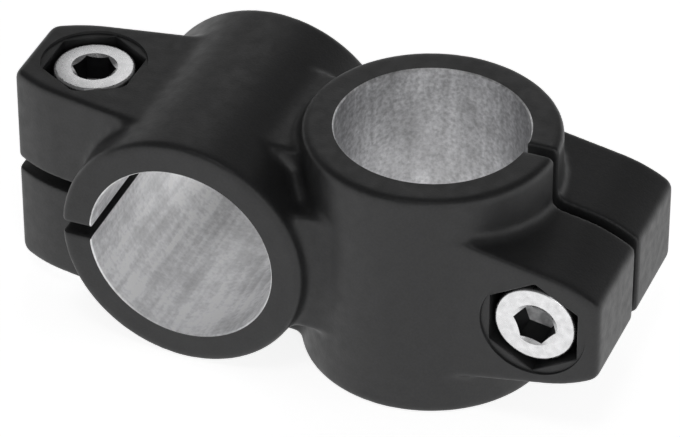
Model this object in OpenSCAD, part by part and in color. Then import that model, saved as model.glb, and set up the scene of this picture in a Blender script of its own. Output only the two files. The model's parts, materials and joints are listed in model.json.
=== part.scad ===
// Cross clamp for two round tubes that pass each other at right angles.
// One die casting carries two split bores. The horizontal bore runs along Y and its ears point to -X.
// The vertical bore runs along Z and its ears point to +X. Each pair of ears is pulled together by a
// socket head screw and a hexagon nut. The origin is midway between the two bore axes.
// Half a turn about the diagonal line y = -z brings one half of the part onto the other.

/* [Tubes] */
// Bore of each clamp, the outside diameter of the tube it holds
bore_d = 30; // [24:0.5:40]
// Thickness of the barrel round the bore
wall_t = 5; // [4:0.25:8]
// Length of each bore
barrel_len = 40; // [34:1:60]
// Thinnest metal between the two bores where they cross
bore_gap = 3.4; // [2:0.2:10]
// Chamfer at each bore mouth
mouth_chamfer = 0.2; // [0.2:0.1:0.8]
// Radius round the outer edge of each barrel end
rim_edge_r = 1; // [0.4:0.1:2]

/* [Ears] */
// Width of the slit through the barrel wall and the ears
slit_w = 2; // [1.6:0.2:4]
// Step from the crown of the barrel down to the outer face of the ear
ear_step = 2.7; // [1.5:0.1:4]
// Width of the ears where their sides start to curve in
ear_w = 20.2; // [18.6:0.2:26]
// Angle at which each side of the ears spreads from there towards the barrel
ear_taper = 10.5; // [4:0.5:12]
// Length over which the sides curve in towards the end of the ears
ear_curve_len = 8.3; // [5:0.1:10]
// Radius of the curved sides
ear_curve_r = 22; // [18:0.5:40]
// Metal between the nut pocket and the end of the ears
ear_end_wall = 3.8; // [3:0.2:8]
// Radius along the end edges of the ears
ear_edge_r = 1.2; // [0.5:0.1:1.6]
// Hollow radius that runs the ear face into the barrel
ear_blend_r = 9; // [4:0.5:14]

/* [Web between the barrels] */
// Width of each of the two crossed webs
web_w = 21.2; // [14:0.2:26]

/* [Screw and nut] */
// Thread diameter
screw_d = 8; // [6:1:8]
// Length of the screw under its head
screw_len = 25; // [22:1:26]
// Diameter of the screw head
head_d = 13; // [11:0.5:13]
// Height of the screw head
head_h = 8; // [6:0.5:8]
// Radius of the upper edge of the screw head
head_edge_r = 0.6; // [0.3:0.1:1]
// Width across flats of the hexagon socket in the head
socket_af = 6; // [4:0.5:6]
// Depth of the hexagon socket
socket_depth = 4.4; // [3:0.1:5]
// Width of the chamfer outside the corners of the socket's mouth
socket_chamfer = 0.2; // [0.1:0.1:0.5]
// Width across flats of the nut
nut_af = 13; // [12:0.5:13]
// Height of the nut
nut_h = 6.8; // [5:0.1:7]
// Radial clearance between the screw and the nut thread
thread_clearance = 0.05; // [0.02:0.01:0.1]
// Play of the screw in its hole
hole_play = 0.4; // [0.2:0.1:1]
// Play of the nut across flats in its pocket, and of the head in the same pocket
pocket_play = 0.4; // [0.2:0.1:0.8]
// Draft of the pocket's sides, which lets the casting leave its die
pocket_draft = 2; // [0:0.5:3]
// Metal between the pocket and the bore
pocket_wall = 1.1; // [1:0.1:4]
// Depth of the head below the outer face of the ear
head_recess = 1; // [0:0.1:1.5]
// Width of the round lead-in outside the corners of the pocket
lead_in_w = 0.3; // [0.2:0.1:1]
// Depth of the round lead-in
lead_in_depth = 0.4; // [0.2:0.1:1.5]
// Angle at which the socket of the horizontal clamp's screw came to rest
horizontal_socket_turn = -15; // [-30:1:30]
// Angle at which the socket of the vertical clamp's screw came to rest
vertical_socket_turn = 20; // [-30:1:30]

/* [Hidden] */
$fn = 96;

// how far a cutter reaches past the metal it cuts
over = 1;
// how far a blend dips into the barrel, so that the two surfaces cross cleanly
dip = 0.02;

bore_r = bore_d / 2;
barrel_r = bore_r + wall_t;
axis_offset = (bore_d + bore_gap) / 2;
ear_h = barrel_r - ear_step;

pocket_af = max(nut_af, head_d) + pocket_play;
screw_offset = bore_r + pocket_wall + pocket_af / 2;
ear_end = screw_offset + pocket_af / 2 + ear_end_wall;
seat_h = ear_h - head_recess - head_h;
mouth_af = pocket_af + 2 * (ear_h - seat_h) * tan(pocket_draft);
mouth_corner_r = mouth_af / sqrt(3);

// Puts the geometry of the vertical clamp in place of the horizontal one: half a turn about y = -z
module half_turn() {
  rotate([-90, 0, 180])
    children();
}

// Puts geometry drawn round the vertical bore's axis in place
module at_vertical_bore() {
  translate([axis_offset, 0, 0])
    children();
}

// A hexagonal prism along Z with two flats across X, and with draft where its sides lean outwards
module hex_prism(across_flats, height, draft = 0) {
  top_af = across_flats + 2 * height * tan(draft);
  rotate(30)
    cylinder(r1 = across_flats / sqrt(3), r2 = top_af / sqrt(3), h = height, $fn = 6);
}

// Solid barrel with rounded end edges, along Z
module barrel() {
  half_len = barrel_len / 2;
  rotate_extrude()
    union() {
      translate([0, -half_len])
        square([barrel_r - rim_edge_r, barrel_len]);
      translate([0, -half_len + rim_edge_r])
        square([barrel_r, barrel_len - 2 * rim_edge_r]);
      for (side = [-1, 1])
        translate([barrel_r - rim_edge_r, side * (half_len - rim_edge_r)])
          circle(rim_edge_r);
    }
}

// Outline of the ears seen along the screw: sides that taper, then curve in towards a flat end
module ear_plan() {
  curve_x = ear_end - ear_curve_len;
  root_w = ear_w / 2 + curve_x * tan(ear_taper);
  centre_x = curve_x - ear_curve_r * sin(ear_taper);
  centre_y = ear_w / 2 - ear_curve_r * cos(ear_taper);
  for (side = [0, 1])
    mirror([0, side])
      union() {
        polygon([[0, 0], [0, root_w], [curve_x, ear_w / 2], [curve_x, 0]]);
        intersection() {
          translate([centre_x, centre_y])
            circle(ear_curve_r);
          square([ear_end, root_w]);
        }
      }
}

// Section across the bore of what stands out from the barrel: two flat faces that blend into it
module lug_section(reach) {
  sunk_r = barrel_r - dip;
  blend_x = sqrt(pow(sunk_r + ear_blend_r, 2) - pow(ear_h + ear_blend_r, 2));
  blend_y = ear_h + ear_blend_r;
  touch = sunk_r / (sunk_r + ear_blend_r);
  difference() {
    polygon([
      [0, blend_y * touch], [blend_x * touch, blend_y * touch], [blend_x, ear_h], [reach, ear_h],
      [reach, -ear_h], [blend_x, -ear_h], [blend_x * touch, -blend_y * touch], [0, -blend_y * touch]
    ]);
    for (side = [-1, 1])
      translate([blend_x, side * blend_y])
        circle(ear_blend_r);
  }
}

// Section of the ears, with their two end edges rounded
module ear_section() {
  core_x = ear_end - ear_edge_r;
  core_y = ear_h - ear_edge_r;
  union() {
    lug_section(core_x);
    translate([core_x - over, -core_y])
      square([ear_edge_r + over, 2 * core_y]);
    for (side = [-1, 1])
      translate([core_x, side * core_y])
        circle(ear_edge_r);
  }
}

// Both ears as one solid block, before the slit parts them
module ears() {
  intersection() {
    rotate([90, 0, 0])
      linear_extrude(height = 2 * barrel_r, center = true)
        ear_plan();
    linear_extrude(height = barrel_len, center = true)
      ear_section();
  }
}

// Web from the barrel to the other one, in line with the ears and of the same thickness
module web() {
  mirror([1, 0, 0])
    linear_extrude(height = web_w, center = true)
      lug_section(2 * axis_offset);
}

// Metal of the vertical clamp, before anything is cut from it
module clamp_metal() {
  at_vertical_bore() {
    barrel();
    ears();
    web();
  }
}

// Bore with its two mouth chamfers
module bore_cut() {
  half_len = barrel_len / 2;
  cylinder(r = bore_r, h = barrel_len + 2 * over, center = true);
  for (side = [0, 1])
    mirror([0, 0, side])
      translate([0, 0, half_len - mouth_chamfer])
        cylinder(r1 = bore_r, r2 = bore_r + mouth_chamfer + over, h = mouth_chamfer + over);
}

// Slit from the bore out through the ears
module slit_cut() {
  translate([0, -slit_w / 2, -barrel_len / 2 - over])
    cube([ear_end + over, slit_w, barrel_len + 2 * over]);
}

// Screw hole with a hexagonal pocket from each outer face: the head sinks in one, the nut in the other
module screw_cut() {
  rotate([90, 0, 0]) {
    cylinder(d = screw_d + hole_play, h = 2 * (ear_h + over), center = true);
    for (side = [0, 1])
      mirror([0, 0, side]) {
        translate([0, 0, seat_h])
          hex_prism(pocket_af, ear_h - seat_h + over, pocket_draft);
        translate([0, 0, ear_h - lead_in_depth])
          cylinder(
            r1 = mouth_corner_r,
            r2 = mouth_corner_r + lead_in_w * (1 + over / lead_in_depth),
            h = lead_in_depth + over
          );
      }
  }
}

// Everything that is cut from the vertical clamp
module clamp_cuts() {
  at_vertical_bore() {
    bore_cut();
    slit_cut();
    translate([screw_offset, 0, 0])
      screw_cut();
  }
}

// The casting: both clamps and the crossed webs between them, in one piece
module clamp_body() {
  color([0.13, 0.13, 0.14])
    difference() {
      union() {
        clamp_metal();
        half_turn()
          clamp_metal();
      }
      clamp_cuts();
      half_turn()
        clamp_cuts();
    }
}

// Socket head screw along Z, with the underside of its head at z = 0 and its shank below
module screw(socket_turn) {
  tip_chamfer = screw_d / 10;
  socket_mouth_r = socket_af / sqrt(3) + socket_chamfer;
  difference() {
    union() {
      rotate_extrude()
        union() {
          square([head_d / 2 - head_edge_r, head_h]);
          square([head_d / 2, head_h - head_edge_r]);
          translate([head_d / 2 - head_edge_r, head_h - head_edge_r])
            circle(head_edge_r);
        }
      translate([0, 0, -screw_len + tip_chamfer])
        cylinder(d = screw_d, h = screw_len - tip_chamfer);
      translate([0, 0, -screw_len])
        cylinder(d1 = screw_d - 2 * tip_chamfer, d2 = screw_d, h = tip_chamfer);
    }
    translate([0, 0, head_h - socket_depth])
      rotate(socket_turn)
        hex_prism(socket_af, socket_depth + over);
    translate([0, 0, head_h + socket_af / 2 - socket_mouth_r])
      cylinder(
        r1 = socket_af / 2,
        r2 = socket_mouth_r + over,
        h = socket_mouth_r - socket_af / 2 + over
      );
  }
}

// Hexagon nut along Z, from z = 0 down, with its corners chamfered on both faces
module nut() {
  corner_r = nut_af / sqrt(3);
  chamfer_h = (corner_r - nut_af / 2) * tan(30);
  difference() {
    translate([0, 0, -nut_h])
      intersection() {
        hex_prism(nut_af, nut_h);
        union() {
          cylinder(r1 = nut_af / 2, r2 = corner_r, h = chamfer_h);
          translate([0, 0, chamfer_h])
            cylinder(r = corner_r + over, h = nut_h - 2 * chamfer_h);
          translate([0, 0, nut_h - chamfer_h])
            cylinder(r1 = corner_r, r2 = nut_af / 2, h = chamfer_h);
        }
      }
    translate([0, 0, -nut_h - over])
      cylinder(r = screw_d / 2 + thread_clearance, h = nut_h + 2 * over);
  }
}

// Puts geometry drawn along Z on the vertical clamp's screw axis, with +Z turned to the head's side
module at_vertical_screw() {
  at_vertical_bore()
    translate([screw_offset, 0, 0])
      rotate([90, 0, 0])
        children();
}

// A screw in place on the vertical clamp
module seated_screw(socket_turn) {
  color([0.8, 0.8, 0.82])
    at_vertical_screw()
      translate([0, 0, seat_h])
        screw(socket_turn);
}

// A nut in place on the vertical clamp
module seated_nut() {
  color([0.75, 0.75, 0.78])
    at_vertical_screw()
      translate([0, 0, -seat_h])
        nut();
}

module horizontal_clamp_screw() {
  half_turn()
    seated_screw(horizontal_socket_turn);
}

module horizontal_clamp_nut() {
  half_turn()
    seated_nut();
}

module vertical_clamp_screw() {
  seated_screw(vertical_socket_turn);
}

module vertical_clamp_nut() {
  seated_nut();
}

clamp_body();
horizontal_clamp_screw();
horizontal_clamp_nut();
vertical_clamp_screw();
vertical_clamp_nut();
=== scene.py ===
"""Looks of a cross clamp for two round tubes: its die casting, screws and nuts, on a plain stage."""

import json
import math

import bmesh
import bpy
from bpy.props import FloatProperty, FloatVectorProperty, IntProperty, PointerProperty
from mathutils import Matrix, Vector


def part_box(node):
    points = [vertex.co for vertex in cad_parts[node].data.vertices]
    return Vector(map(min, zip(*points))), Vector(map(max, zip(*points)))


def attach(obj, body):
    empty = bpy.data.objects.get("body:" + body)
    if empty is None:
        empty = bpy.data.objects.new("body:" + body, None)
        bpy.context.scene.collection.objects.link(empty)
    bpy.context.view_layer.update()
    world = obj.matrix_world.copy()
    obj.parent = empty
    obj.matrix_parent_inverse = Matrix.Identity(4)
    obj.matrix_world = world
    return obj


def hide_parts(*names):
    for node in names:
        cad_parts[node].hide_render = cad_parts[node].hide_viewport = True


bl_info = {
    "name": "Tube joint",
    "version": (1, 0, 0),
    "blender": (4, 5, 0),
    "location": "3D View > Sidebar > Tube joint",
    "description": "Builds the casting, the screws and the nuts of a cross clamp for two tubes",
    "category": "Add Mesh",
}

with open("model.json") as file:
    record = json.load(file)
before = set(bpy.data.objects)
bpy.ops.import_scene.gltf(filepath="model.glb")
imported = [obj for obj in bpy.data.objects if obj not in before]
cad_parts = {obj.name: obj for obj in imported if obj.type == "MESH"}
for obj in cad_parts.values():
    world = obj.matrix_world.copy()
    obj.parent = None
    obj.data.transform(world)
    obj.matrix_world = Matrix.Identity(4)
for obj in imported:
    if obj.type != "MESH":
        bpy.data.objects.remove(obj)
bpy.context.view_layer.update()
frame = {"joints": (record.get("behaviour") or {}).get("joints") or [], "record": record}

LOW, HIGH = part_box("clamp_body")
MOUNTS = {mount["name"]: mount for mount in frame["record"]["mounts"]}
JOINTS = {joint["name"]: joint for joint in frame["joints"]}
AXIS_OFFSET = MOUNTS["vertical_tube"]["pos_m"][0]
BORE_R = MOUNTS["vertical_tube"]["dims"]["r_mm"] / 1000
SCREW_OFFSET = JOINTS["vertical_screw_turn"]["pos_m"][0] - AXIS_OFFSET
BARREL_R = HIGH.z
HALF_LEN = HIGH.y
EAR_END = HIGH.x - AXIS_OFFSET
SCREW_TIP = -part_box("vertical_clamp_screw")[1].y
HEAD_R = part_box("vertical_clamp_screw")[1].z
NUT_FACE = -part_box("vertical_clamp_nut")[0].y
NUT_BACK = -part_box("vertical_clamp_nut")[1].y
SEAT = -NUT_FACE

# How far a cutter reaches past what it cuts.
OVER = 0.001
# Points closer than this are merged.
MERGE_DISTANCE = 1e-7
# A point closer than this to a cutting plane lies in it.
PLANE_DISTANCE = 1e-8
# How far a point may be from the height or radius where it is looked for.
MISS = 1e-6
# Edges that bend by more than this, in radians, are rounded.
ROUNDED_ANGLE = 0.5
# How much further from the middle a hexagon's corners are than its flats.
HEX_CORNER = 2 / math.sqrt(3)
# Depth of a thread as a share of its pitch, and the steps in each of its turns.
THREAD_DEPTH = 0.613
THREAD_STEPS = 40
# Name, place, power and width of each lamp, in metres and watts.
LAMPS = (
    ("front light", (0.55, -0.9, 0.5), 1.2, 0.4),
    ("top light", (0.1, -0.45, 1.16), 0.65, 0.26),
    ("back light", (-0.33, 0.9, 0.73), 0.48, 0.38),
)

# The vertical clamp's own frame has its bore on Z and its ears along X. Half a turn about the
# line y = -z puts the horizontal clamp in its place.
VERTICAL = Matrix.Translation((AXIS_OFFSET, 0, 0))
HALF_TURN = Matrix(((-1, 0, 0, 0), (0, 0, -1, 0), (0, -1, 0, 0), (0, 0, 0, 1)))
HORIZONTAL = HALF_TURN @ VERTICAL
# A screw is drawn with its head towards +Z and the underside of the head at z = 0.
ON_SCREW_AXIS = Matrix.Translation((SCREW_OFFSET, 0, 0)) @ Matrix.Rotation(math.pi / 2, 4, "X")
ON_SEAT = ON_SCREW_AXIS @ Matrix.Translation((0, 0, SEAT))
CLAMPS = (("vertical", VERTICAL), ("horizontal", HORIZONTAL))


def length(name, description, default):
    """A size in metres that a user can change."""
    return FloatProperty(
        name=name, description=description, default=default, min=0.0, precision=5, unit="LENGTH"
    )


def angle(name, description, degrees):
    """An angle that a user can change."""
    return FloatProperty(
        name=name, description=description, default=math.radians(degrees), subtype="ANGLE"
    )


def colour(name, description, default):
    """A colour that a user can change."""
    return FloatVectorProperty(
        name=name, description=description, default=default, size=3, min=0.0, max=1.0, subtype="COLOR"
    )


class CastingSettings(bpy.types.PropertyGroup):
    """Sizes of the casting."""

    slit_w: length("Slit", "Width of the slit through the barrel wall and the ears", 0.002)
    ear_step: length("Ear step", "Step from the crown of the barrel down to the ear's face", 0.0027)
    ear_w: length("Ear width", "Width of the ears where their sides start to curve in", 0.0202)
    ear_taper: angle("Ear taper", "Angle at which the ears spread towards the barrel", 10.5)
    ear_curve_len: length("Curve length", "Length of the curve at the end of the ears' sides", 0.0083)
    ear_curve_r: length("Curve radius", "Radius of that curve", 0.022)
    ear_blend_r: length("Ear hollow", "Hollow radius that runs the ear's face into the barrel", 0.009)
    web_w: length("Web width", "Width of each of the two webs between the barrels", 0.0212)
    hole_d: length("Screw hole", "Diameter of the hole for the screw", 0.0084)
    pocket_af: length("Pocket", "Width across flats of the pocket for the head or the nut", 0.0134)
    pocket_draft: angle("Pocket draft", "Draft of the pocket's sides", 2)
    lead_in_w: length("Lead-in width", "Width of the round lead-in outside the pocket's corners", 0.0003)
    lead_in_depth: length("Lead-in depth", "Depth of that lead-in", 0.0004)
    pocket_edge: length("Pocket edge", "Chamfer of the pocket's edges at the lead-in", 0.00012)
    mouth_chamfer: length("Bore chamfer", "Chamfer at each bore mouth", 0.0002)
    edge_r: length("Edge radius", "Radius of the outer edges", 0.0006)
    end_edge_r: length("End edge radius", "Radius of the edges at the end of the ears", 0.0012)
    rim_edge_r: length("Rim radius", "Radius round the outer edge of each barrel end", 0.001)
    hollow_r: length("Hollow radius", "Radius in the inner corners of the casting", 0.0011)
    grid: length("Grid", "Grid on which the solids are joined and rounded", 0.0003)
    edge_passes: IntProperty(
        name="Edge rounding", description="Passes that round all edges", default=4, min=0
    )
    triangles: IntProperty(
        name="Triangles",
        description="Triangles the casting is thinned to before its bores and pockets are cut",
        default=180000,
        min=1000,
    )


class FastenerSettings(bpy.types.PropertyGroup):
    """Sizes of the screws and nuts."""

    screw_d: length("Thread", "Outside diameter of the thread", 0.008)
    pitch: length("Pitch", "Pitch of the thread", 0.00125)
    head_h: length("Head height", "Height of the screw head", 0.008)
    head_edge_r: length("Head edge", "Radius of the upper edge of the head", 0.0006)
    socket_af: length("Socket", "Width across flats of the hexagon socket", 0.006)
    socket_depth: length("Socket depth", "Depth of the hexagon socket", 0.0044)
    socket_chamfer: length("Socket chamfer", "Width of the chamfer outside the socket's corners", 0.0002)
    neck_len: length("Neck", "Plain length under the head", 0.003)
    nut_af: length("Nut", "Width across flats of the nut", 0.013)
    thread_gap: length("Thread gap", "Radial gap between the two threads", 0.00005)
    knurls: IntProperty(name="Knurls", description="Grooves round the head", default=60, min=12)
    knurl_depth: length("Knurl depth", "Depth of those grooves", 0.00016)
    knurl_band: length("Knurl band", "Height left plain above and below the grooves", 0.0012)
    vertical_turn: angle("Vertical socket", "Angle of the vertical clamp's socket", 20)
    horizontal_turn: angle("Horizontal socket", "Angle of the horizontal clamp's socket", -15)


class FinishSettings(bpy.types.PropertyGroup):
    """Colours of the finishes."""

    coating: colour("Powder coat", "Colour of the powder coat", (0.021, 0.0212, 0.022))
    # Both bores are one bare aluminium. The vertical bore's colour is made darker as painted shade, and
    # the horizontal bore's colour lighter as painted light.
    vertical_bore_painted_shade: colour(
        "Vertical bore", "Colour of the bare metal in the vertical bore", (0.71, 0.71, 0.72)
    )
    horizontal_bore_painted_light: colour(
        "Horizontal bore", "Colour of the bare metal in the horizontal bore", (0.93, 0.93, 0.94)
    )
    screw_steel: colour("Screw steel", "Colour of the screws", (0.82, 0.82, 0.83))
    # Painted shade: a near-black colour on the socket walls, which are the same steel as the rest of the
    # screw and look dark only from the shade in the socket.
    socket_shade: colour("Socket shade", "Colour of the walls of the sockets", (0.05, 0.05, 0.052))
    nut_steel: colour("Nut steel", "Colour of the nuts", (0.74, 0.74, 0.755))


class StageSettings(bpy.types.PropertyGroup):
    """The stage and the camera."""

    floor_size: length("Floor", "Width of the floor", 3.0)
    azimuth: angle("Azimuth", "Angle of the camera round the joint, from -Y towards +X", 21.903)
    elevation: angle("Elevation", "Angle of the camera above the floor", 36.473)
    distance: length("Distance", "Distance from the camera to the middle of the joint", 0.7086)
    aim_right: length("Aim right", "How far right of the middle the camera aims", 0.001507)
    aim_down: length("Aim down", "How far below the middle the camera aims", 0.001761)
    lens: FloatProperty(
        name="Lens", description="Focal length on a 36 mm sensor", default=242.2, unit="CAMERA"
    )
    floor_colour: colour("Floor colour", "Colour of the floor", (0.86, 0.86, 0.86))
    floor_glow: FloatProperty(
        name="Floor glow", description="Light of its own that the floor shows", default=0.82, min=0.0
    )


def object_from(bm, name):
    """A new object in the scene with the mesh of bm."""
    mesh = bpy.data.meshes.new(name)
    bm.to_mesh(mesh)
    bm.free()
    obj = bpy.data.objects.new(name, mesh)
    bpy.context.scene.collection.objects.link(obj)
    return obj


def moved(bm, matrix):
    """Moves the mesh by matrix, and keeps its faces outwards if that mirrors it."""
    bmesh.ops.transform(bm, matrix=matrix, verts=bm.verts)
    if matrix.determinant() < 0:
        bmesh.ops.reverse_faces(bm, faces=bm.faces)
    return bm


def join_into(target, source):
    """Adds the mesh of source to target, and frees source."""
    mesh = bpy.data.meshes.new("part")
    source.to_mesh(mesh)
    source.free()
    target.from_mesh(mesh)
    bpy.data.meshes.remove(mesh)


def arc(centre, radius, start, end, steps):
    """Points on an arc round the centre, from one angle to another."""
    turns = [start + (end - start) * step / steps for step in range(steps + 1)]
    return [(centre[0] + radius * math.cos(turn), centre[1] + radius * math.sin(turn)) for turn in turns]


def outline(bm, points):
    """Vertices at the points, with an edge from each to the next."""
    verts = [bm.verts.new(point) for point in points]
    edges = [bm.edges.new(pair) for pair in zip(verts, verts[1:])]
    return verts, edges


def lathe(profile, steps):
    """A closed solid turned round Z from a profile of (radius, height) pairs that ends on the axis."""
    bm = bmesh.new()
    verts, edges = outline(bm, [(radius, 0, height) for radius, height in profile])
    bmesh.ops.spin(
        bm,
        geom=verts + edges,
        cent=(0, 0, 0),
        axis=(0, 0, 1),
        angle=2 * math.pi,
        steps=steps,
        use_merge=True,
    )
    bmesh.ops.remove_doubles(bm, verts=bm.verts, dist=MERGE_DISTANCE)
    bmesh.ops.recalc_face_normals(bm, faces=bm.faces)
    return bm


def prism(points, low, high):
    """A solid with the outline points, given as (x, y) pairs, from z = low to z = high."""
    bm = bmesh.new()
    face = bm.faces.new([bm.verts.new((x, y, low)) for x, y in points])
    grown = bmesh.ops.extrude_face_region(bm, geom=[face])["geom"]
    top = [item for item in grown if isinstance(item, bmesh.types.BMVert)]
    bmesh.ops.translate(bm, verts=top, vec=(0, 0, high - low))
    bmesh.ops.recalc_face_normals(bm, faces=bm.faces)
    return bm


def cylinder(radius_low, radius_high, low, high, segments):
    """A cylinder or cone round Z. With six segments two of its flats face X."""
    bm = bmesh.new()
    bmesh.ops.create_cone(
        bm,
        cap_ends=True,
        segments=segments,
        radius1=radius_low,
        radius2=radius_high,
        depth=high - low,
        matrix=Matrix.Translation((0, 0, (low + high) / 2)),
    )
    return bm


def trim(bm, point, normal):
    """Cuts away what lies beyond a plane and closes the solid again."""
    bmesh.ops.bisect_plane(
        bm,
        geom=bm.verts[:] + bm.edges[:] + bm.faces[:],
        dist=PLANE_DISTANCE,
        plane_co=point,
        plane_no=normal,
        clear_outer=True,
    )
    open_edges = [edge for edge in bm.edges if edge.is_boundary]
    bmesh.ops.holes_fill(bm, edges=open_edges, sides=0)


def settle(obj):
    """Replaces the object's mesh by what its modifiers make of it."""
    depsgraph = bpy.context.evaluated_depsgraph_get()
    mesh = bpy.data.meshes.new_from_object(obj.evaluated_get(depsgraph))
    old = obj.data
    obj.modifiers.clear()
    obj.data = mesh
    mesh.name = old.name
    bpy.data.meshes.remove(old)


def combine(obj, others, operation):
    """Cuts, joins or intersects obj with each of the others in turn, and removes them."""
    for other in others:
        modifier = obj.modifiers.new("combine", "BOOLEAN")
        modifier.object = other
        modifier.operation = operation
        modifier.solver = "EXACT"
        modifier.material_mode = "TRANSFER"
    settle(obj)
    for other in others:
        bpy.data.objects.remove(other)


def thin(obj, wanted):
    """Takes triangles out of the mesh until the wanted number is left."""
    triangles = sum(len(face.vertices) - 2 for face in obj.data.polygons)
    if triangles > wanted:
        modifier = obj.modifiers.new("thin", "DECIMATE")
        modifier.ratio = wanted / triangles
        settle(obj)


def cut_out(obj, cutters):
    """Cuts closed solids out of obj one by one, by the second solver where the first cuts nothing."""
    for cutter in cutters:
        faces = len(obj.data.polygons)
        for solver in ("MANIFOLD", "EXACT"):
            if len(obj.data.polygons) == faces:
                modifier = obj.modifiers.new("cut", "BOOLEAN")
                modifier.object = cutter
                modifier.operation = "DIFFERENCE"
                modifier.solver = solver
                settle(obj)
        bpy.data.objects.remove(cutter)


def regrid(obj, size):
    """Rebuilds the mesh on an even grid, which joins solids that overlap."""
    modifier = obj.modifiers.new("grid", "REMESH")
    modifier.mode = "VOXEL"
    modifier.voxel_size = size
    settle(obj)


def smooth(obj, passes):
    """Evens out the mesh, which rounds its edges."""
    bm = bmesh.new()
    bm.from_mesh(obj.data)
    for _ in range(passes):
        bmesh.ops.smooth_vert(
            bm, verts=bm.verts, factor=0.5, use_axis_x=True, use_axis_y=True, use_axis_z=True
        )
    bm.to_mesh(obj.data)
    bm.free()


def fill_hollows(obj, radius, grid):
    """Fills the inner corners up to where a ball of the radius would touch both sides."""
    for distance in (radius, -radius):
        modifier = obj.modifiers.new("offset", "DISPLACE")
        modifier.mid_level = 0
        modifier.strength = distance
        regrid(obj, grid)


def lug_section(sizes, reach):
    """Section of what stands out from the barrel: two flat faces that blend into it."""
    ear_h = BARREL_R - sizes.ear_step
    # The blend starts a hair inside the barrel, so that the two solids overlap.
    sunk_r = BARREL_R - 0.00002
    centre_y = ear_h + sizes.ear_blend_r
    centre_x = math.sqrt((sunk_r + sizes.ear_blend_r) ** 2 - centre_y**2)
    start = math.atan2(-centre_y, -centre_x)
    blend = arc((centre_x, centre_y), sizes.ear_blend_r, start, -math.pi / 2, steps=16)
    half = [(0, blend[0][1])] + blend + [(reach, ear_h)]
    return half + [(x, -y) for x, y in reversed(half)]


def rounded(bm, radius, wanted=lambda edge: True):
    """Rounds the outer edges, or those of them that are wanted."""
    edges = [
        edge
        for edge in bm.edges
        if edge.is_manifold and edge.calc_face_angle_signed(0) > ROUNDED_ANGLE and wanted(edge)
    ]
    bmesh.ops.bevel(
        bm,
        geom=edges,
        offset=radius,
        offset_type="OFFSET",
        affect="EDGES",
        segments=4,
        profile=0.5,
        material=-1,
        clamp_overlap=False,
    )
    return bm


def ear_solid(sizes):
    """Both ears as one block: the section along the bore, trimmed to the curved plan."""
    bm = prism(lug_section(sizes, EAR_END), -HALF_LEN, HALF_LEN)
    # Only the four edges of the end face have both of their points beyond this.
    near_end = EAR_END - 0.0001
    rounded(bm, sizes.end_edge_r, lambda edge: min(vert.co.x for vert in edge.verts) > near_end)
    curve_x = EAR_END - sizes.ear_curve_len
    centre_x = curve_x - sizes.ear_curve_r * math.sin(sizes.ear_taper)
    centre_z = sizes.ear_w / 2 - sizes.ear_curve_r * math.cos(sizes.ear_taper)
    first = math.pi / 2 - sizes.ear_taper
    last = math.acos((EAR_END - centre_x) / sizes.ear_curve_r)
    steps = 12
    for side in (-1, 1):
        for step in range(steps + 1):
            turn = first + (last - first) * step / steps
            normal = Vector((math.cos(turn), 0, side * math.sin(turn)))
            centre = Vector((centre_x, 0, side * centre_z))
            trim(bm, centre + sizes.ear_curve_r * normal, normal)
    return rounded(bm, sizes.edge_r)


def barrel_solid(sizes):
    """Solid barrel with its rims rounded."""
    edge = sizes.rim_edge_r
    rim = arc((BARREL_R - edge, HALF_LEN - edge), edge, math.pi / 2, 0, steps=6)
    half = [(0, HALF_LEN)] + rim
    return lathe(half + [(radius, -height) for radius, height in reversed(half)], steps=180)


def web_solid(sizes):
    """Web from the barrel towards the other one, with its edges rounded."""
    section = [(-x, y) for x, y in lug_section(sizes, 2 * AXIS_OFFSET)]
    return rounded(prism(section, -sizes.web_w / 2, sizes.web_w / 2), sizes.edge_r)


def outer_casting(sizes):
    """The casting with its slits, before its bores, screw holes and pockets are cut."""
    whole = bmesh.new()
    for _, place in CLAMPS:
        for solid in (barrel_solid(sizes), ear_solid(sizes), web_solid(sizes)):
            join_into(whole, moved(solid, place))
    obj = object_from(whole, "casting")
    regrid(obj, sizes.grid)
    fill_hollows(obj, sizes.hollow_r, sizes.grid)
    half = sizes.slit_w / 2
    start = BORE_R - OVER
    end = EAR_END + OVER
    sides = [(start, -half), (end, -half), (end, half), (start, half)]
    slits = []
    for name, place in CLAMPS:
        slit = prism(sides, -HALF_LEN - OVER, HALF_LEN + OVER)
        slits.append(object_from(moved(slit, place), name + "_slit"))
    combine(obj, slits, "DIFFERENCE")
    regrid(obj, sizes.grid)
    smooth(obj, sizes.edge_passes)
    return obj


def small_cuts(sizes):
    """The screw hole, the lead-ins and the pockets of both clamps."""
    ear_h = BARREL_R - sizes.ear_step
    ledge = ear_h - sizes.lead_in_depth
    eased = ledge - sizes.pocket_edge
    # The pocket's cutter ends just past the ledge, because two cutters that share a plane cut badly.
    clear = 0.00003
    seat_r = HEX_CORNER * sizes.pocket_af / 2
    eased_r = seat_r + HEX_CORNER * (eased - SEAT) * math.tan(sizes.pocket_draft)
    ledge_r = eased_r + HEX_CORNER * (sizes.pocket_edge + clear)
    section = [(0, SEAT), (seat_r, SEAT), (eased_r, eased), (ledge_r, ledge + clear), (0, ledge + clear)]
    foot_r = ledge_r + clear
    mouth_r = eased_r + sizes.lead_in_w
    flare = (mouth_r - foot_r) / sizes.lead_in_depth
    # Six steps of the lathe put a corner on X, where six segments of a cylinder put a flat.
    half_side = Matrix.Rotation(math.pi / 6, 4, "Z")
    cutters = []
    for name, place in CLAMPS:
        hole = cylinder(sizes.hole_d / 2, sizes.hole_d / 2, -BARREL_R, BARREL_R, segments=64)
        solids = [moved(hole, ON_SCREW_AXIS)]
        for turn in (0, math.pi):
            flip = ON_SCREW_AXIS @ Matrix.Rotation(turn, 4, "X")
            lead_in = cylinder(foot_r, mouth_r + flare * OVER, ledge, ear_h + OVER, segments=90)
            pocket = moved(lathe(section, steps=6), half_side)
            solids += [moved(solid, flip) for solid in (lead_in, pocket)]
        cutters += [object_from(moved(solid, place), name + "_cut") for solid in solids]
    return cutters


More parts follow.
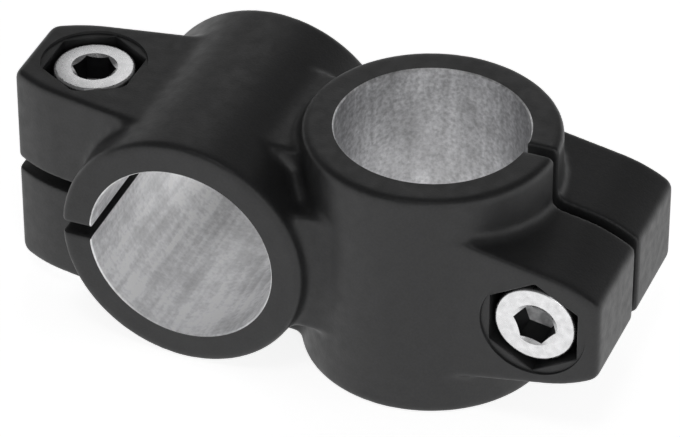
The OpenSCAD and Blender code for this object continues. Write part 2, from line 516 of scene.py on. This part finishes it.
def bore_cut(sizes, place, material):
    """The machined bore with its two mouth chamfers."""
    wide = BORE_R + sizes.mouth_chamfer + OVER
    far = HALF_LEN + OVER
    near = HALF_LEN - sizes.mouth_chamfer
    profile = [(0, -far), (wide, -far), (BORE_R, -near), (BORE_R, near), (wide, far), (0, far)]
    cutter = object_from(moved(lathe(profile, steps=180), place), "bore_cut")
    cutter.data.materials.append(material)
    return cutter


class Nodes:
    """Lays the nodes of a material or of the world."""

    def __init__(self, owner, kind):
        """Starts with the output node of the kind that the owner takes."""
        owner.use_nodes = True
        self.owner = owner
        self.tree = owner.node_tree
        self.tree.nodes.clear()
        self.output = self.add("ShaderNodeOutput" + kind)
        self.coordinates = self.add("ShaderNodeTexCoord").outputs

    def add(self, kind, inputs=None, **settings):
        """A node with its settings, and with its inputs fed by name or by number."""
        node = self.tree.nodes.new(kind)
        for key, value in settings.items():
            setattr(node, key, value)
        for key, value in (inputs or {}).items():
            self.feed(node.inputs[key], value)
        return node

    def feed(self, socket, value):
        """Links the value to the socket, or sets it there if it is a plain one."""
        if isinstance(value, bpy.types.NodeSocket):
            self.tree.links.new(value, socket)
        else:
            socket.default_value = value

    def noise(self, scale, detail, stretch=(1, 1, 1)):
        """Noise with features of about 1/scale metres, drawn out where the stretch is under 1."""
        mapping = self.add("ShaderNodeMapping", {"Vector": self.coordinates["Object"], "Scale": stretch})
        inputs = {"Vector": mapping.outputs["Vector"], "Scale": scale, "Detail": detail}
        return self.add("ShaderNodeTexNoise", inputs).outputs["Fac"]

    def between(self, factor, low, high, low_in=0.3, high_in=0.7):
        """The factor brought to the range from low to high, by default from where most noise lies."""
        ends = {"From Min": low_in, "From Max": high_in, "To Min": low, "To Max": high}
        return self.add("ShaderNodeMapRange", {"Value": factor, **ends}).outputs["Result"]

    def math(self, operation, first, second):
        """The two values put together by the operation."""
        return self.add("ShaderNodeMath", {0: first, 1: second}, operation=operation).outputs[0]

    def shade(self, colour_value, amount):
        """The colour made lighter and darker by the amount, which is 1 where nothing changes."""
        inputs = {"Factor": 1.0, "A": (*colour_value, 1), "B": amount}
        node = self.add("ShaderNodeMix", inputs, data_type="RGBA", blend_type="MULTIPLY")
        return node.outputs["Result"]

    def bump(self, height, strength, distance, under=None):
        """The height as a bump, on top of the one under it."""
        node = self.add("ShaderNodeBump", {"Height": height, "Strength": strength, "Distance": distance})
        if under:
            self.feed(node.inputs["Normal"], under)
        return node.outputs["Normal"]

    def finish(self, base, roughness, normal, metallic):
        """The material, once its shader has these values."""
        inputs = {"Base Color": base, "Roughness": roughness, "Normal": normal, "Metallic": metallic}
        shader = self.add("ShaderNodeBsdfPrincipled", inputs)
        self.feed(self.output.inputs["Surface"], shader.outputs["BSDF"])
        return self.owner


def material_nodes(name):
    """The nodes of a new material."""
    return Nodes(bpy.data.materials.new(name), "Material")


def powder_coat(colours):
    """Satin black powder coat with a fine even grain and a soft orange peel."""
    nodes = material_nodes("powder coat")
    grain = nodes.noise(scale=2600, detail=2)
    peel = nodes.noise(scale=520, detail=2)
    cloud = nodes.noise(scale=90, detail=3)
    tone = nodes.between(cloud, 0.86, 1.14)
    speck = nodes.between(grain, 0.82, 1.18)
    base = nodes.shade(colours.coating, nodes.math("MULTIPLY", tone, speck))
    roughness = nodes.between(peel, 0.4, 0.5)
    normal = nodes.bump(peel, strength=0.25, distance=0.00006)
    normal = nodes.bump(grain, strength=0.5, distance=0.00004, under=normal)
    return nodes.finish(base, roughness, normal, metallic=0.0)


def bored_metal(name, colour_value, axis, grain, roughness):
    """Bare aluminium of a bore: grainy, with faint marks drawn along the bore's axis."""
    nodes = material_nodes(name)
    along = [1.0, 1.0, 1.0]
    along[axis] = 0.06
    mottle = nodes.noise(scale=1500, detail=3)
    cloud = nodes.noise(scale=160, detail=3)
    drawn = nodes.noise(scale=700, detail=3, stretch=along)
    tone = nodes.between(cloud, 0.8, 1.15)
    spots = nodes.between(mottle, 1 - grain, 1 + grain)
    marks = nodes.between(drawn, 0.88, 1.1, low_in=0.35, high_in=0.65)
    shades = nodes.math("MULTIPLY", tone, nodes.math("MULTIPLY", spots, marks))
    base = nodes.shade(colour_value, shades)
    uneven = nodes.between(mottle, roughness - 0.08, roughness + 0.08)
    normal = nodes.bump(mottle, strength=2 * grain, distance=0.00005)
    normal = nodes.bump(drawn, strength=0.25, distance=0.00004, under=normal)
    return nodes.finish(base, uneven, normal, metallic=1.0)


def turned_steel(name, colour_value, place, roughness):
    """Bright steel with fine rings round the piece's own axis."""
    nodes = material_nodes(name)
    axis = place.to_3x3() @ Vector((0, 0, 1))
    # 0 along the axis, and 1 across it.
    across = [0.0 if abs(part) > 0.5 else 1.0 for part in axis]
    offset = {0: nodes.coordinates["Object"], 1: place.translation}
    from_middle = nodes.add("ShaderNodeVectorMath", offset, operation="SUBTRACT").outputs[0]
    flat = nodes.add("ShaderNodeVectorMath", {0: from_middle, 1: across}, operation="MULTIPLY").outputs[0]
    radius = nodes.add("ShaderNodeVectorMath", {0: flat}, operation="LENGTH").outputs["Value"]
    along_x = nodes.add("ShaderNodeCombineXYZ", {0: radius}).outputs[0]
    rings = nodes.add("ShaderNodeTexNoise", {"Vector": along_x, "Scale": 7000, "Detail": 1}).outputs["Fac"]
    stains = nodes.noise(scale=800, detail=4)
    base = nodes.shade(colour_value, nodes.between(stains, 0.8, 1.08))
    uneven = nodes.between(stains, roughness - 0.05, roughness + 0.08)
    normal = nodes.bump(rings, strength=0.25, distance=0.00002)
    normal = nodes.bump(stains, strength=0.1, distance=0.00003, under=normal)
    return nodes.finish(base, uneven, normal, metallic=1.0)


def pressed_steel(name, colour_value):
    """Matt steel at the bottom of a pressed socket, with dark stains."""
    nodes = material_nodes(name)
    stains = nodes.noise(scale=700, detail=3)
    base = nodes.shade(colour_value, nodes.between(stains, 0.6, 1.1, low_in=0.35, high_in=0.65))
    normal = nodes.bump(stains, strength=0.3, distance=0.00004)
    return nodes.finish(base, roughness=0.6, normal=normal, metallic=0.0)


def thread_solid(sizes, radius, low, high):
    """A right-hand thread round Z, cut off square at both ends."""
    pitch = sizes.pitch
    spare = 2
    first_turn = math.floor(low / pitch) - spare
    turns = math.ceil(high / pitch) + spare - first_turn
    root = radius - THREAD_DEPTH * pitch
    bottom = 1 / 4
    crest = 1 / 8
    flank = (1 - bottom - crest) / 2
    bm = bmesh.new()
    profile = [(root, 0), (root, bottom), (radius, bottom + flank), (radius, 1 - flank), (root, 1)]
    points = [(r, 0, (first_turn + part) * pitch) for r, part in profile]
    verts, edges = outline(bm, points)
    bmesh.ops.spin(
        bm,
        geom=verts + edges,
        cent=(0, 0, 0),
        axis=(0, 0, 1),
        dvec=(0, 0, pitch / THREAD_STEPS),
        angle=2 * math.pi * turns,
        steps=THREAD_STEPS * turns,
    )
    bmesh.ops.remove_doubles(bm, verts=bm.verts, dist=MERGE_DISTANCE)
    for height, facing in ((low, -1), (high, 1)):
        trim(bm, (0, 0, height), (0, 0, facing))
    bmesh.ops.recalc_face_normals(bm, faces=bm.faces)
    return bm


def knurl_side(bm, sizes):
    """Presses a straight knurl into the side of the head."""
    low = sizes.knurl_band - MISS
    high = sizes.head_h - sizes.knurl_band + MISS
    side = [
        vert
        for vert in bm.verts
        if abs(vert.co.xy.length - HEAD_R) < MISS and low < vert.co.z < high
    ]
    for vert in side:
        step = round(math.atan2(vert.co.y, vert.co.x) / (math.pi / sizes.knurls))
        if step % 2:
            vert.co.xy = vert.co.xy.normalized() * (HEAD_R - sizes.knurl_depth)


def screw_core(sizes, tip):
    """The knurled head, the neck and the core of the thread, which ends short of the tip."""
    edge = sizes.head_edge_r
    top = sizes.head_h
    radius = sizes.screw_d / 2
    depth = THREAD_DEPTH * sizes.pitch
    neck = -sizes.neck_len
    end = tip + 0.002
    bevel_w = 0.0004
    bevel_h = 0.0003
    fillet = 0.0003
    profile = [(0, top)] + arc((HEAD_R - edge, top - edge), edge, math.pi / 2, 0, steps=6)
    profile += [(HEAD_R, top - sizes.knurl_band), (HEAD_R, sizes.knurl_band)]
    profile += [(HEAD_R, bevel_h), (HEAD_R - bevel_w, 0)]
    profile += [(radius + fillet, 0), (radius, -fillet), (radius, neck)]
    profile += [(radius - depth, neck - depth), (radius - depth, end), (0, end)]
    bm = lathe(profile, steps=2 * sizes.knurls)
    knurl_side(bm, sizes)
    return object_from(bm, "screw")


def screw_thread(sizes, tip):
    """The thread of the screw, with a chamfer at its tip."""
    radius = sizes.screw_d / 2
    into_neck = 0.0005
    chamfer = 0.1 * sizes.screw_d
    clear = 0.0002
    solid = thread_solid(sizes, radius, tip - OVER, into_neck - sizes.neck_len)
    thread = object_from(solid, "thread")
    keep = [(0, tip), (radius - chamfer, tip), (radius + clear, tip + chamfer + clear)]
    keep += [(radius + clear, 0), (0, 0)]
    combine(thread, [object_from(lathe(keep, steps=96), "keep")], "INTERSECT")
    return thread


def socket_cuts(sizes, socket_turn):
    """The hexagon socket, the shallow cone in its floor and the chamfer at its mouth.

    The floor of the hexagon has the second of its materials.
    """
    top = sizes.head_h
    floor = top - sizes.socket_depth
    flat_r = sizes.socket_af / 2
    corner_r = HEX_CORNER * flat_r
    mouth_r = corner_r + sizes.socket_chamfer
    flare = 1.7
    mouth_foot = top - (mouth_r - flat_r) / flare
    cone_r = 0.4 * flat_r
    cone_foot = floor - 0.1 * flat_r
    clear = 0.0001
    socket = cylinder(corner_r, corner_r, floor, top + OVER, segments=6)
    min(socket.faces, key=lambda face: face.calc_center_median().z).material_index = 1
    moved(socket, Matrix.Rotation(socket_turn, 4, "Z"))
    cone = cylinder(0, cone_r, cone_foot, floor + clear, segments=32)
    mouth = cylinder(flat_r, mouth_r + flare * OVER, mouth_foot, top + OVER, segments=72)
    return [object_from(solid, "socket_cut") for solid in (socket, cone, mouth)]


def screw_solid(sizes, socket_turn, steel, socket_shade, floor_steel):
    """Socket head screw with its head towards +Z and the underside of the head at z = 0."""
    tip = SCREW_TIP - SEAT
    screw = screw_core(sizes, tip)
    combine(screw, [screw_thread(sizes, tip)], "UNION")
    screw.data.materials.clear()
    screw.data.materials.append(steel)
    cuts = socket_cuts(sizes, socket_turn)
    # The socket walls take the near-black painted shade, the socket floor and the cone in it take the matt
    # steel, and the mouth chamfer takes the screw steel.
    for cut, materials in zip(cuts, ((socket_shade, floor_steel), (floor_steel,), (steel,))):
        for material in materials:
            cut.data.materials.append(material)
    combine(screw, cuts, "DIFFERENCE")
    return screw


def nut_solid(sizes):
    """Hexagon nut in the place it has on the screw, which has the underside of its head at z = 0."""
    high = NUT_FACE - SEAT
    low = NUT_BACK - SEAT
    flat_r = sizes.nut_af / 2
    corner_r = HEX_CORNER * flat_r
    chamfer_angle = math.radians(30)
    chamfer_h = (corner_r - flat_r) * math.tan(chamfer_angle)
    clear = 0.0001
    nut = object_from(cylinder(corner_r, corner_r, low, high, segments=6), "nut")
    keep = [(0, low), (flat_r - clear, low), (corner_r + clear, low + chamfer_h)]
    keep += [(corner_r + clear, high - chamfer_h), (flat_r - clear, high), (0, high)]
    combine(nut, [object_from(lathe(keep, steps=120), "keep")], "INTERSECT")
    radius = sizes.screw_d / 2 + sizes.thread_gap
    tap = object_from(thread_solid(sizes, radius, low - OVER, high + OVER), "tap")
    mouth_r = radius + 0.0002
    depth = 0.0008
    cones = [
        cylinder(mouth_r + OVER, mouth_r - depth, low - OVER, low + depth, segments=72),
        cylinder(mouth_r - depth, mouth_r + OVER, high - depth, high + OVER, segments=72),
    ]
    combine(nut, [tap] + [object_from(cone, "cone") for cone in cones], "DIFFERENCE")
    return nut


def put_in_place(obj, place):
    """Moves the mesh itself, so that the object stays at the origin."""
    bm = bmesh.new()
    bm.from_mesh(obj.data)
    moved(bm, place)
    bm.to_mesh(obj.data)
    bm.free()


def dress(obj, name, body, node, sharp):
    """Names a finished piece, shades it and puts it in place of its node."""
    obj.name = name
    obj.data.name = name
    obj.data.polygons.foreach_set("use_smooth", [True] * len(obj.data.polygons))
    obj.data.set_sharp_from_angle(angle=math.radians(sharp))
    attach(obj, body)
    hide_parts(node)


class TUBEJOINT_OT_casting(bpy.types.Operator):
    """Build the casting with its rounded edges, slits, pockets and machined bores"""

    bl_idname = "object.tubejoint_casting"
    bl_label = "Casting"

    def execute(self, context):
        sizes = context.scene.tubejoint_casting
        colours = context.scene.tubejoint_finish
        casting = outer_casting(sizes)
        thin(casting, sizes.triangles)
        cut_out(casting, small_cuts(sizes))
        casting.data.materials.clear()
        casting.data.materials.append(powder_coat(colours))
        # One bare aluminium in both bores, darker in the vertical bore as painted shade and lighter in the
        # horizontal bore as painted light.
        vertical = bored_metal("vertical bore", colours.vertical_bore_painted_shade, axis=2, grain=0.3, roughness=0.44)
        horizontal = bored_metal(
            "horizontal bore", colours.horizontal_bore_painted_light, axis=1, grain=0.12, roughness=0.6
        )
        bores = [bore_cut(sizes, VERTICAL, vertical), bore_cut(sizes, HORIZONTAL, horizontal)]
        combine(casting, bores, "DIFFERENCE")
        dress(casting, "casting", "casting", "clamp_body", sharp=32)
        return {"FINISHED"}


class TUBEJOINT_OT_screws(bpy.types.Operator):
    """Build both socket head screws with their threads, knurled heads and sockets"""

    bl_idname = "object.tubejoint_screws"
    bl_label = "Screws"

    def execute(self, context):
        sizes = context.scene.tubejoint_fasteners
        colours = context.scene.tubejoint_finish
        turns = {"vertical": sizes.vertical_turn, "horizontal": sizes.horizontal_turn}
        for name, clamp in CLAMPS:
            place = clamp @ ON_SEAT
            steel = turned_steel(name + " screw", colours.screw_steel, place, roughness=0.26)
            # Painted shade: the socket walls get a near-black turned steel in place of the screw's own
            # steel.
            socket_shade = turned_steel(name + " socket", colours.socket_shade, place, roughness=0.5)
            floor_steel = pressed_steel(name + " socket floor", colours.screw_steel)
            screw = screw_solid(sizes, turns[name], steel, socket_shade, floor_steel)
            put_in_place(screw, place)
            node = name + "_clamp_screw"
            dress(screw, name + "_screw", name + "_screw", node, sharp=30)
        return {"FINISHED"}


class TUBEJOINT_OT_nuts(bpy.types.Operator):
    """Build both hexagon nuts with their threads and chamfers"""

    bl_idname = "object.tubejoint_nuts"
    bl_label = "Nuts"

    def execute(self, context):
        sizes = context.scene.tubejoint_fasteners
        colours = context.scene.tubejoint_finish
        for name, clamp in CLAMPS:
            place = clamp @ ON_SEAT
            nut = nut_solid(sizes)
            put_in_place(nut, place)
            steel = turned_steel(name + " nut", colours.nut_steel, place, roughness=0.34)
            nut.data.materials.clear()
            nut.data.materials.append(steel)
            node = name + "_clamp_nut"
            dress(nut, name + "_nut", name + "_nut", node, sharp=30)
        return {"FINISHED"}


def floor_material(stage):
    """Matt floor that the camera and bright metal see a little brighter than it is lit."""
    nodes = material_nodes("floor")
    diffuse = nodes.add("ShaderNodeBsdfDiffuse", {"Color": (*stage.floor_colour, 1)})
    rays = nodes.add("ShaderNodeLightPath").outputs
    seen = nodes.math("MAXIMUM", rays["Is Camera Ray"], rays["Is Glossy Ray"])
    seen = nodes.math("MAXIMUM", seen, rays["Is Transmission Ray"])
    glow = nodes.math("MULTIPLY", seen, stage.floor_glow)
    light = nodes.add("ShaderNodeEmission", {"Strength": glow})
    both = nodes.add("ShaderNodeAddShader", {0: diffuse.outputs[0], 1: light.outputs[0]})
    nodes.feed(nodes.output.inputs["Surface"], both.outputs[0])
    return nodes.owner


def soft_light(name, place, power, width):
    """A square area light that points at the middle of the joint."""
    data = bpy.data.lights.new(name, "AREA")
    data.energy = power
    data.size = width
    lamp = bpy.data.objects.new(name, data)
    bpy.context.scene.collection.objects.link(lamp)
    lamp.location = place
    lamp.rotation_euler = (-lamp.location).to_track_quat("-Z", "Y").to_euler()


def studio_world():
    """A studio with pale walls, a darker ceiling and a little more light from +X."""
    wall_top = 0.06
    ceiling = 0.42
    ceiling_tone = 0.09
    strongest = 1.2
    nodes = Nodes(bpy.data.worlds.new("studio"), "World")
    direction = nodes.add("ShaderNodeSeparateXYZ", {0: nodes.coordinates["Generated"]}).outputs
    tones = nodes.add("ShaderNodeValToRGB", {"Fac": direction["Z"]})
    low, high = tones.color_ramp.elements
    low.position = wall_top
    low.color = (1, 1, 1, 1)
    high.position = ceiling
    high.color = (ceiling_tone, ceiling_tone, ceiling_tone, 1)
    strength = nodes.between(direction["X"], 1, strongest, low_in=-1, high_in=1)
    room = nodes.add("ShaderNodeBackground", {"Color": tones.outputs["Color"], "Strength": strength})
    nodes.feed(nodes.output.inputs["Surface"], room.outputs[0])
    return nodes.owner


def camera_of(stage):
    """A camera at the stage's angles and distance, aimed near the middle of the joint."""
    right = Vector((math.cos(stage.azimuth), math.sin(stage.azimuth), 0))
    back = Vector(
        (
            math.sin(stage.azimuth) * math.cos(stage.elevation),
            -math.cos(stage.azimuth) * math.cos(stage.elevation),
            math.sin(stage.elevation),
        )
    )
    up = back.cross(right)
    data = bpy.data.cameras.new("camera")
    data.sensor_width = 36
    data.lens = stage.lens
    data.clip_start = 0.05
    data.clip_end = 20
    camera = bpy.data.objects.new("camera", data)
    bpy.context.scene.collection.objects.link(camera)
    camera.location = back * stage.distance + right * stage.aim_right - up * stage.aim_down
    camera.rotation_euler = Matrix((right, up, back)).transposed().to_euler()
    return camera


class TUBEJOINT_OT_stage(bpy.types.Operator):
    """Set up the floor, the lights, the world and the camera"""

    bl_idname = "object.tubejoint_stage"
    bl_label = "Stage"

    def execute(self, context):
        stage = context.scene.tubejoint_stage
        bm = bmesh.new()
        bmesh.ops.create_grid(
            bm,
            x_segments=1,
            y_segments=1,
            size=stage.floor_size / 2,
            matrix=Matrix.Translation((0, 0, LOW.z)),
        )
        floor = object_from(bm, "floor")
        floor.data.materials.append(floor_material(stage))
        for lamp in LAMPS:
            soft_light(*lamp)
        context.scene.world = studio_world()
        context.scene.camera = camera_of(stage)
        context.scene.view_settings.view_transform = "Standard"
        return {"FINISHED"}


class TUBEJOINT_PT_panel(bpy.types.Panel):
    """Builds the tube joint piece by piece."""

    bl_idname = "TUBEJOINT_PT_panel"
    bl_label = "Tube joint"
    bl_space_type = "VIEW_3D"
    bl_region_type = "UI"
    bl_category = "Tube joint"

    def draw(self, context):
        for operator in OPERATORS:
            self.layout.operator(operator.bl_idname)
        for name in SETTINGS:
            group = getattr(context.scene, name)
            box = self.layout.box()
            for key in group.__annotations__:
                box.prop(group, key)


OPERATORS = (TUBEJOINT_OT_casting, TUBEJOINT_OT_screws, TUBEJOINT_OT_nuts, TUBEJOINT_OT_stage)
SETTINGS = {
    "tubejoint_casting": CastingSettings,
    "tubejoint_fasteners": FastenerSettings,
    "tubejoint_finish": FinishSettings,
    "tubejoint_stage": StageSettings,
}


def register():
    for cls in (*SETTINGS.values(), *OPERATORS, TUBEJOINT_PT_panel):
        bpy.utils.register_class(cls)
    for name, cls in SETTINGS.items():
        setattr(bpy.types.Scene, name, PointerProperty(type=cls))


def unregister():
    for name in SETTINGS:
        delattr(bpy.types.Scene, name)
    for cls in (TUBEJOINT_PT_panel, *reversed(OPERATORS), *reversed(SETTINGS.values())):
        bpy.utils.unregister_class(cls)


def main():
    """Builds every piece and the stage."""
    register()
    bpy.ops.object.tubejoint_casting()
    bpy.ops.object.tubejoint_screws()
    bpy.ops.object.tubejoint_nuts()
    bpy.ops.object.tubejoint_stage()


if __name__ == "__main__":
    main()
